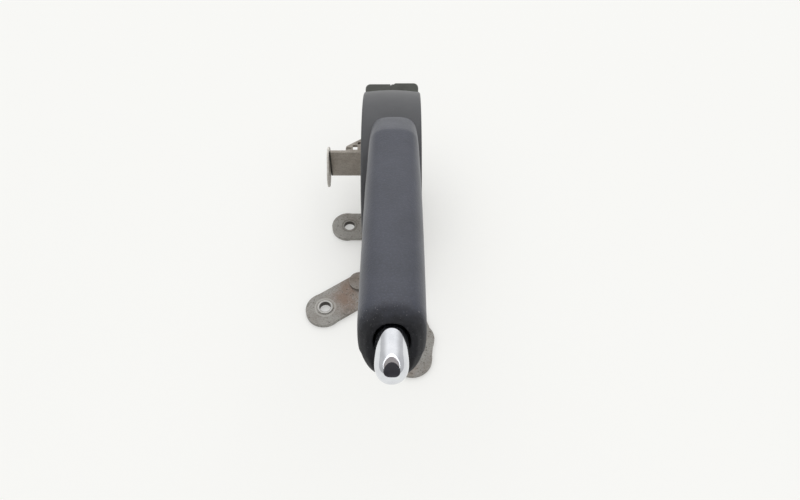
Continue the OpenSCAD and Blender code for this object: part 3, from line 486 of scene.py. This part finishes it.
plainLook = {"dustAndGlint": 0.9, "dustAndGlintShare": 0.0, "dustAndGlintColour": (128, 128, 130), "coat": 0.0}
gripLook = {
    **plainLook, "colour": (75, 79, 94), "second": (68, 72, 85), "pit": (47, 48, 54), "pitShare": 0.35,
    "grain": 1.4, "patch": 26, "rough": 0.45, "roughSpread": 0.12, "gloss": 0.5, "depth": 0.2,
    "bump": 0.7, "dustAndGlintShare": 0.65, "dustAndGlintColour": (146, 146, 148), "coat": 0.2,
    "darkerNose": (-207, -190),  # y in mm, from fully darkened to not at all
    "darkerNoseShare": 0.92, "darkerNoseColour": (19, 20, 20), "darkerNoseSpread": 14, "darkerNoseCloud": 7,
}
bellyLook = {**gripLook, "colour": (58, 59, 64), "second": (52, 53, 58), "bump": 0.45}
coverLook = {
    **plainLook, "colour": (86, 87, 90), "second": (80, 81, 84), "pit": (66, 67, 70), "pitShare": 0.2,
    "grain": 0.8, "patch": 34, "rough": 0.5, "roughSpread": 0.1, "gloss": 0.5, "depth": 0.08,
    "bump": 0.4, "dustAndGlintShare": 0.2, "coat": 0.12,
}
sleeveLook = {
    **coverLook, "colour": (176, 177, 172), "second": (166, 167, 162), "grain": 0.5, "rough": 0.4,
}
flapLook = {
    **plainLook, "colour": (106, 108, 102), "second": (98, 100, 94), "pit": (80, 82, 78),
    "pitShare": 0.3, "grain": 0.6, "patch": 12, "rough": 0.62, "roughSpread": 0.12, "gloss": 0.4,
    "depth": 0.06, "bump": 0.5,
}
switchLook = {
    **flapLook, "colour": (44, 45, 47), "second": (40, 41, 42), "pit": (34, 34, 35),
    "rough": 0.45, "bump": 0.25,
}
nylonLook = {
    **plainLook, "colour": (214, 210, 198), "second": (202, 197, 184), "pit": (186, 180, 166),
    "pitShare": 0.2, "grain": 0.7, "patch": 9, "rough": 0.42, "roughSpread": 0.1, "gloss": 0.5,
    "depth": 0.04, "bump": 0.25,
}
footLook = {
    "colour": (172, 170, 165), "tarnish": (158, 154, 148), "grime": (100, 93, 86),
    "highlightColour": (210, 208, 203), "patch": 17, "grit": 1.3, "speck": 1.5, "speckShare": 0.7,
    "stain": 7, "stainShare": 0.3, "highlightRim": 0.7, "highlightRimShare": 0.5,
    "metal": 0.55, "rough": 0.5, "depth": 0.12, "bump": 0.5,
}
plateLook = {
    **footLook, "rust": (146, 122, 106), "rustShare": 0.8, "grime": (90, 83, 77), "speckShare": 0.75,
    "stainShare": 0.4, "rustSpots": [(-34, -86, 24), (8, -150, 12)],
    "ring": (-55, -97.7, 4.75, 6.3), "ringColour": (206, 205, 201),
    "marks": [(-55, -97.7, 7.2, 8.8, (210, 208, 203)), (-38.8, -16.6, 5.6, 7.0, (88, 84, 76))],
    "markShare": 0.4,
    "shadedBores": [(-55, -97.7), (-38.8, -16.6), (13.5, -141.5)], "shadedBoreWall": 4.9,
    "boreShadeColour": (78, 74, 70),
}
uprightLook = {**footLook, "colour": (160, 154, 147), "tarnish": (146, 134, 124), "speckShare": 0.5}
stayLook = {
    **footLook, "colour": (186, 179, 169), "tarnish": (174, 165, 154), "grime": (122, 113, 104),
    "highlightColour": (206, 200, 192), "speckShare": 0.35, "patch": 12, "bump": 0.35, "metal": 0.3,
    "creaseShade": (-52.6, -51.2), "creaseShadeColour": (52, 50, 46),
}
flangeLook = {
    **footLook, "colour": (236, 233, 225), "tarnish": (228, 224, 215), "grime": (168, 161, 151),
    "highlightColour": (234, 232, 225), "speckShare": 0.3, "patch": 9, "metal": 0.15,
}
rivetLook = {
    **footLook, "colour": (170, 167, 160), "tarnish": (150, 142, 132), "grit": 0.6, "speckShare": 0.2,
}
ratchetLook = {
    **footLook, "colour": (112, 108, 103), "tarnish": (94, 88, 82), "metal": 0.75, "rough": 0.42,
}
coilLook = {
    **rivetLook, "colour": (134, 131, 126), "tarnish": (112, 108, 103), "metal": 0.85, "rough": 0.35,
}
brassLook = {
    **rivetLook, "colour": (176, 142, 84), "tarnish": (146, 112, 66), "grime": (104, 80, 50),
    "highlightColour": (220, 194, 136), "metal": 0.85, "rough": 0.36,
}
chromeLook = {
    "colour": (232, 234, 238), "second": (218, 220, 225), "haze": 9, "hazeSpan": (0.3, 0.7),
    "hazeRough": 0.05, "dullSpan": (0.45, 0.75), "wipe": 0.7, "wipeRough": 0.03,
    "rough": 0.05, "depth": 0.02, "bump": 0.05,
}

finishes = {
    "grip_plastic": mouldedPlastic("grip_plastic", gripLook),
    "belly_plastic": mouldedPlastic("belly_plastic", bellyLook),
    "cover_plastic": mouldedPlastic("cover_plastic", coverLook),
    "sleeve_plastic": mouldedPlastic("sleeve_plastic", sleeveLook),
    "flap_rubber": mouldedPlastic("flap_rubber", flapLook),
    "black_plastic": mouldedPlastic("black_plastic", switchLook),
    "white_plastic": mouldedPlastic("white_plastic", nylonLook),
    "bare_steel": workedSteel("bare_steel", plateLook),
    "arm_steel": workedSteel("arm_steel", uprightLook),
    "stay_steel": workedSteel("stay_steel", stayLook),
    "flange_steel": workedSteel("flange_steel", flangeLook),
    "rivet_steel": workedSteel("rivet_steel", rivetLook),
    "dark_steel": workedSteel("dark_steel", ratchetLook),
    "spring_steel": workedSteel("spring_steel", coilLook),
    "bush_brass": workedSteel("bush_brass", brassLook),
    "button_chrome": mirrorChrome("button_chrome", chromeLook),
}
print("finishes made:", len(finishes))

# which CAD pieces take which finish
wears = {
    "bare_steel": ["base_plate"],
    "arm_steel": ["left_upright", "right_upright", "lever_arm"],
    "stay_steel": ["stay_bracket"],
    "flange_steel": ["stay_flange"],
    "rivet_steel": [
        "left_rivet_front", "left_rivet_rear", "right_rivet_front", "right_rivet_rear",
        "ratchet_rivet_front", "ratchet_rivet_rear", "stay_rivet_top", "stay_rivet_low",
        "pivot_pin", "pawl_pin", "spring_pin", "cable_pin",
        "release_rod", "spring_collar", "switch_screw",
    ],
    "dark_steel": [
        "ratchet_plate", "pawl", "pivot_clip",
        "cover_screw_left_top", "cover_screw_left_rear",
        "cover_screw_right_top", "cover_screw_right_rear",
    ],
    "bush_brass": ["left_bush", "right_bush", "switch_terminal"],
    "black_plastic": ["switch_body"],
    "white_plastic": ["switch_plunger", "rod_guide", "rod_guide_front"],
    "sleeve_plastic": ["button_sleeve"],
    "cover_plastic": ["sector_cover"],
    "flap_rubber": ["left_flap", "right_flap"],
}
# angles in degrees, lengths in mm
softEdges = {"angle": 38, "flat": 0.2, "width": 0.28, "weld": 0.004, "rounds": 2, "flatWeight": 60}


def dressNode(name, finish):
    piece = cadNodes[name]
    piece.data.materials.clear()
    piece.data.materials.append(finishes[finish])
    weld = piece.modifiers.new("weld", "WELD")
    weld.merge_threshold = softEdges["weld"] * mm
    # flat faces become one before their edges are rounded
    join = piece.modifiers.new("join", "DECIMATE")
    join.decimate_type = "DISSOLVE"
    join.angle_limit = math.radians(softEdges["flat"])
    bevel = piece.modifiers.new("edge", "BEVEL")
    bevel.limit_method = "ANGLE"
    bevel.angle_limit = math.radians(softEdges["angle"])
    bevel.width = softEdges["width"] * mm
    bevel.segments = softEdges["rounds"]
    bevel.use_clamp_overlap = True
    # flat faces shade flat beside the rounded edges
    flats = piece.modifiers.new("flats", "WEIGHTED_NORMAL")
    flats.weight = softEdges["flatWeight"]
    piece.data.shade_smooth()


for finish, members in wears.items():
    for member in members:
        dressNode(member, finish)
print("CAD pieces dressed:", sum(len(members) for members in wears.values()))

# grip: the moulded upper shell and the underside below its seam
grip = {
    "nose": (0, -208, 157),  # start of the grip's axis, mm
    "tilt": 12,
    "width": 38.5,
    "seam": -8,  # below the axis
    "seamGap": 0.1,
    "seamInset": 0.6,
    "opening": 10.4,  # radius round the button
    "mouthBack": 0.9,
    "lip": [(0.1, 0.4), (0.3, -0.15), (0.5, -0.4), (0.7, -0.45), (0.88, -0.25)],  # share out, way back
    "throat": (6.0, 0.2),  # along and slant of the bore's second ring
    "boreEnd": 34,
    "sides": 128,
    "fineness": 8,  # rings for each station
    "blend": 3,  # rings added to a station's own to soften the curve
    "clearOfCover": 74.7,  # radius about the pivot
    "pivot": 42,
    "hubSides": 256,
    "slotHalf": 6.62,
    "slotFrom": 150,
    "slotTo": 199.5,
    "slotDepth": 70,
    "around": (60, -80, 260),  # past the grip's side, front and rear
    "beyond": 90,  # past its top and bottom
    "edge": 0.35,
    "edgeAngle": 50,
    "edgeRounds": 3,
    "sharpAngle": 32,
}
# along, share of the width, height up, height down, slant, squareness
gripStations = [
    (-3.0, 0.750, 11.6, 19.5, 0.42, 2.5),
    (-0.5, 0.900, 14.0, 21.6, 0.42, 2.5),
    (3, 0.985, 16.0, 22.8, 0.40, 2.5),
    (9, 1.0, 17.0, 23.2, 0.34, 2.5),
    (18, 1.0, 17.4, 22.6, 0.22, 2.5),
    (34, 1.0, 17.4, 21.0, 0.10, 2.5),
    (60, 1.0, 17.3, 19.6, 0, 2.5),
    (90, 0.995, 17.2, 18.8, 0, 2.5),
    (115, 0.985, 17.2, 18.6, 0, 2.55),
    (138, 0.965, 17.4, 19.4, 0, 2.65),
    (156, 0.945, 17.9, 23.0, 0, 2.8),
    (170, 0.925, 18.7, 30.0, 0, 2.95),
    (174, 0.920, 18.8, 32.0, 0, 3),
    (182, 0.905, 16.9, 36.0, 0, 3),
    (190, 0.880, 14.7, 38.0, 0, 2.95),
    (196, 0.850, 13.0, 38.0, 0, 2.9),
    (201, 0.795, 11.2, 37.0, 0, 2.85),
    (204.5, 0.690, 8.2, 36.0, 0, 2.8),
]
gripTilt = Matrix.Rotation(math.radians(-grip["tilt"]), 4, "X")
gripPlace = Matrix.Translation(Vector(grip["nose"])) @ gripTilt


def squareRound(value, power):
    return math.copysign(abs(value) ** (2 / power), value)


def gripRing(station, inset):
    along, share, up, down, slant, power = station
    ring = []
    for step in range(grip["sides"]):
        angle = 2 * math.pi * step / grip["sides"]
        x = (grip["width"] / 2 * share - inset) * squareRound(math.cos(angle), power)
        z = (up if math.sin(angle) > 0 else down - inset) * squareRound(math.sin(angle), power)
        ring.append(Vector((x, along + slant * z, z)))
    return ring


def smoothStations():  # the stations drawn through a soft curve
    count = len(gripStations)
    table = np.array(gripStations, float)
    steps = np.linspace(0, count - 1, (count - 1) * grip["fineness"] + 1)
    kernel = np.hanning(grip["fineness"] + grip["blend"])
    kernel /= kernel.sum()
    reach = len(kernel) // 2
    columns = []
    for column in table.T:
        line = np.interp(steps, np.arange(count), column)
        before = 2 * line[0] - line[reach:0:-1]
        after = 2 * line[-1] - line[-2:-reach - 2:-1]
        columns.append(np.convolve(np.concatenate([before, line, after]), kernel, "valid"))
    return list(zip(*columns))


def gripRings(inset):
    stations = smoothStations()
    first = gripRing(stations[0], inset)
    front, slant = stations[0][0], stations[0][4]
    throat, lean = grip["throat"]
    bore = []
    for step in range(grip["sides"]):
        angle = 2 * math.pi * step / grip["sides"]
        bore.append(Vector((math.cos(angle), 0, math.sin(angle))) * grip["opening"])
    mouth = [Vector((p.x, front + slant * p.z + grip["mouthBack"], p.z)) for p in bore]
    rings = [[Vector((p.x, grip["boreEnd"], p.z)) for p in bore]]
    rings.append([Vector((p.x, throat + lean * p.z, p.z)) for p in bore])
    rings.append(mouth)
    for share, back in grip["lip"]:
        lip = []
        for inside, outside in zip(mouth, first):
            x = inside.x + (outside.x - inside.x) * share
            z = inside.z + (outside.z - inside.z) * share
            lip.append(Vector((x, front + slant * z + back, z)))
        rings.append(lip)
    rings += [gripRing(station, inset) for station in stations]
    return rings


def loft(name, rings):  # closed skin through rings of equal count
    count = len(rings[0])
    points = [point for ring in rings for point in ring]
    faces = [list(range(count))]
    for ring in range(len(rings) - 1):
        here = ring * count
        there = here + count
        for step in range(count):
            after = (step + 1) % count
            faces.append([here + step, there + step, there + after, here + after])
    faces.append([(len(rings) - 1) * count + step for step in reversed(range(count))])
    mesh = bpy.data.meshes.new(name)
    mesh.from_pydata(points, [], faces)
    shape = bmesh.new()
    shape.from_mesh(mesh)
    bmesh.ops.recalc_face_normals(shape, faces=shape.faces[:])
    shape.to_mesh(mesh)
    shape.free()
    piece = bpy.data.objects.new(name, mesh)
    scene.collection.objects.link(piece)
    return piece


def block(low, high):  # plain cutter between two corners
    shape = bmesh.new()
    bmesh.ops.create_cube(shape, size=1)
    size = Vector(high) - Vector(low)
    bmesh.ops.scale(shape, vec=size, verts=shape.verts[:])
    bmesh.ops.translate(shape, vec=(Vector(high) + Vector(low)) / 2, verts=shape.verts[:])
    mesh = bpy.data.meshes.new("cutter")
    shape.to_mesh(mesh)
    shape.free()
    return mesh


def roundBar(radius, half, sides):  # cutter along X
    shape = bmesh.new()
    bmesh.ops.create_cone(
        shape, cap_ends=True, radius1=radius, radius2=radius, depth=2 * half, segments=sides,
        matrix=Matrix.Rotation(math.radians(90), 4, "Y"),
    )
    mesh = bpy.data.meshes.new("cutter")
    shape.to_mesh(mesh)
    shape.free()
    return mesh


def cutAway(piece, mesh):
    cutter = bpy.data.objects.new("cutter", mesh)
    scene.collection.objects.link(cutter)
    tool = piece.modifiers.new("cut", "BOOLEAN")
    tool.operation = "DIFFERENCE"
    tool.solver = "EXACT"
    tool.object = cutter
    settle(piece)
    bpy.data.objects.remove(cutter)
    bpy.data.meshes.remove(mesh)


def settle(piece):  # the modifiers become the mesh
    bpy.context.view_layer.update()
    graph = bpy.context.evaluated_depsgraph_get()
    done = bpy.data.meshes.new_from_object(piece.evaluated_get(graph))
    old = piece.data
    piece.modifiers.clear()
    piece.data = done
    bpy.data.meshes.remove(old)


def smoothShade(piece, angle):
    piece.data.shade_smooth()
    piece.data.set_sharp_from_angle(angle=math.radians(angle))


def softenEdges(piece, width, angle, rounds):
    bevel = piece.modifiers.new("edge", "BEVEL")
    bevel.limit_method = "ANGLE"
    bevel.angle_limit = math.radians(angle)
    bevel.width = width
    bevel.segments = rounds
    bevel.use_clamp_overlap = True
    settle(piece)


def makeGripHalf(name, inset, seamLow, seamHigh, node, finish):
    piece = loft(name, gripRings(inset))
    side, front, rear = grip["around"]
    cutAway(piece, block((-side, front, seamLow), (side, rear, seamHigh)))
    slotLow = (-grip["slotHalf"], grip["slotFrom"], -grip["slotDepth"])
    slotHigh = (grip["slotHalf"], grip["slotTo"], 0)
    cutAway(piece, block(slotLow, slotHigh))
    pivot = gripPlace.inverted() @ Vector((0, 0, grip["pivot"]))
    hub = roundBar(grip["clearOfCover"], side, grip["hubSides"])
    hub.transform(Matrix.Translation(pivot))
    cutAway(piece, hub)
    softenEdges(piece, grip["edge"], grip["edgeAngle"], grip["edgeRounds"])
    piece.data.transform(Matrix.Scale(mm, 4) @ gripPlace)
    smoothShade(piece, grip["sharpAngle"])
    piece.data.materials.clear()
    piece.data.materials.append(finishes[finish])
    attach(piece, "lever")
    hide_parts(node)


makeGripHalf("gripShell", 0, -grip["beyond"], grip["seam"], "grip", "grip_plastic")
bellyTop = grip["seam"] - grip["seamGap"]
makeGripHalf(
    "gripBelly", grip["seamInset"], bellyTop, grip["beyond"], "grip_underside", "belly_plastic"
)
print("grip shells made")

# chromed push button, turned about the grip's axis
button = {
    "radius": 9.3,
    "inner": 26,
    "shoulder": -12,  # where the bullet starts
    "tip": -27.95,
    "bevel": 0.6,  # at the inner end
    "straightFrom": 20,
    "straightSteps": 12,
    "fullness": (4, 2.4),  # powers along and across the bullet
    "sides": 128,
    "steps": 48,
    "sharpAngle": 40,
}


def buttonProfile():  # radius and place along the axis, from the inner end to the tip
    wide, inner, bevel = button["radius"], button["inner"], button["bevel"]
    line = [(wide - bevel, inner), (wide, inner - bevel)]
    straight = np.linspace(button["straightFrom"], button["shoulder"], button["straightSteps"])
    line += [(wide, y) for y in straight]
    length = button["shoulder"] - button["tip"]
    along, across = button["fullness"]
    for turn in np.linspace(0, 90, button["steps"])[1:]:
        share = math.sin(math.radians(turn))
        radius = wide * max(0.0, 1 - share ** along) ** (1 / across)
        line.append((radius, button["shoulder"] - length * share))
    return line


def makeButton():
    turns = [2 * math.pi * step / button["sides"] for step in range(button["sides"])]
    rings = []
    for radius, along in buttonProfile()[:-1]:
        ring = [Vector((radius * math.cos(turn), along, radius * math.sin(turn))) for turn in turns]
        rings.append(ring)
    piece = loft("chromeButton", rings)
    piece.data.transform(Matrix.Scale(mm, 4) @ gripPlace)
    smoothShade(piece, button["sharpAngle"])
    piece.data.materials.append(finishes["button_chrome"])
    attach(piece, "button")
    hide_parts("push_button")


makeButton()
print("button made")

# springs as wire along paths, in the grip's own frame, mm; the pawl spring's leg rides on the lever
# and its coil on the pawl
springWire = {"sides": 12, "sharpAngle": 50}
returnCoil = {
    "from": 39.05,
    "to": 69.45,
    "radius": 3.75,
    "wire": 0.9,
    "turns": 8,
    "guide": 69.9,  # the end that stays
    "push": 6,  # how far the collar comes
    "steps": 36,  # for each turn
}
pawlCoil = {
    "centre": (187.87, -32.42),
    "radius": 4.75,
    "wire": 0.56,
    "near": 2.9,
    "far": 3.9,
    "legTurn": 134.1,  # degrees round the pawl where the leg leaves the coil
    "legLength": 18.97,
    "startTurn": 114,
    "endTurn": 750.8,
    "hookTop": -18.42,
    "hookEnd": -1.5,
    "bend": 0.9,
    "bendSteps": 7,
    "steps": 90,
}


def softCorners(points, reach, steps):  # a short bend in place of each corner
    line = [points[0]]
    for before, corner, after in zip(points, points[1:], points[2:]):
        start = corner + (before - corner).normalized() * reach
        end = corner + (after - corner).normalized() * reach
        for share in np.linspace(0, 1, steps):
            line.append(start.lerp(corner, share).lerp(corner.lerp(end, share), share))
    return line + [points[-1]]


def wireThrough(name, points, width):
    turns = [2 * math.pi * step / springWire["sides"] for step in range(springWire["sides"])]
    rings = []
    up = (points[1] - points[0]).orthogonal()
    for number, point in enumerate(points):
        before = points[max(number - 1, 0)]
        after = points[min(number + 1, len(points) - 1)]
        way = (after - before).normalized()
        up = (up - way * up.dot(way)).normalized()
        aside = way.cross(up)
        rings.append([
            point + (up * math.cos(turn) + aside * math.sin(turn)) * width / 2 for turn in turns
        ])
    piece = loft(name, rings)
    piece.data.transform(Matrix.Scale(mm, 4) @ gripPlace)
    smoothShade(piece, springWire["sharpAngle"])
    piece.data.materials.append(finishes["spring_steel"])
    return piece


def makeReturnCoil():
    radius = returnCoil["radius"]
    points = []
    for share in np.linspace(0, 1, returnCoil["turns"] * returnCoil["steps"] + 1):
        angle = 2 * math.pi * returnCoil["turns"] * share
        along = returnCoil["from"] + (returnCoil["to"] - returnCoil["from"]) * share
        points.append(Vector((radius * math.sin(angle), along, radius * math.cos(angle))))
    piece = wireThrough("returnCoil", points, returnCoil["wire"])
    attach(piece, "lever")
    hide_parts("return_spring")
    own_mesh(piece)


def makePawlSpring():
    y, z = pawlCoil["centre"]
    radius = pawlCoil["radius"]

    def onCoil(turn, sideways):
        angle = math.radians(turn)
        return Vector((sideways, y + radius * math.cos(angle), z + radius * math.sin(angle)))

    angle = math.radians(pawlCoil["legTurn"])
    foot = onCoil(pawlCoil["legTurn"], pawlCoil["near"])
    legEnd = foot + Vector((0, math.sin(angle), -math.cos(angle))) * pawlCoil["legLength"]
    leg = wireThrough("pawlSpringLeg", [foot, foot.lerp(legEnd, 0.5), legEnd], pawlCoil["wire"])
    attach(leg, "lever")
    points = [
        onCoil(
            pawlCoil["startTurn"] + (pawlCoil["endTurn"] - pawlCoil["startTurn"]) * share,
            pawlCoil["near"] + (pawlCoil["far"] - pawlCoil["near"]) * share,
        )
        for share in np.linspace(0, 1, pawlCoil["steps"])
    ]
    top = Vector((pawlCoil["far"], points[-1].y, pawlCoil["hookTop"]))
    corners = [points[-1], top, Vector((pawlCoil["hookEnd"], top.y, top.z))]
    hook = softCorners(corners, pawlCoil["bend"], pawlCoil["bendSteps"])
    coil = wireThrough("pawlCoil", points + hook[1:], pawlCoil["wire"])
    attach(coil, "pawl")
    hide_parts("pawl_spring")


makeReturnCoil()
makePawlSpring()
print("springs made")
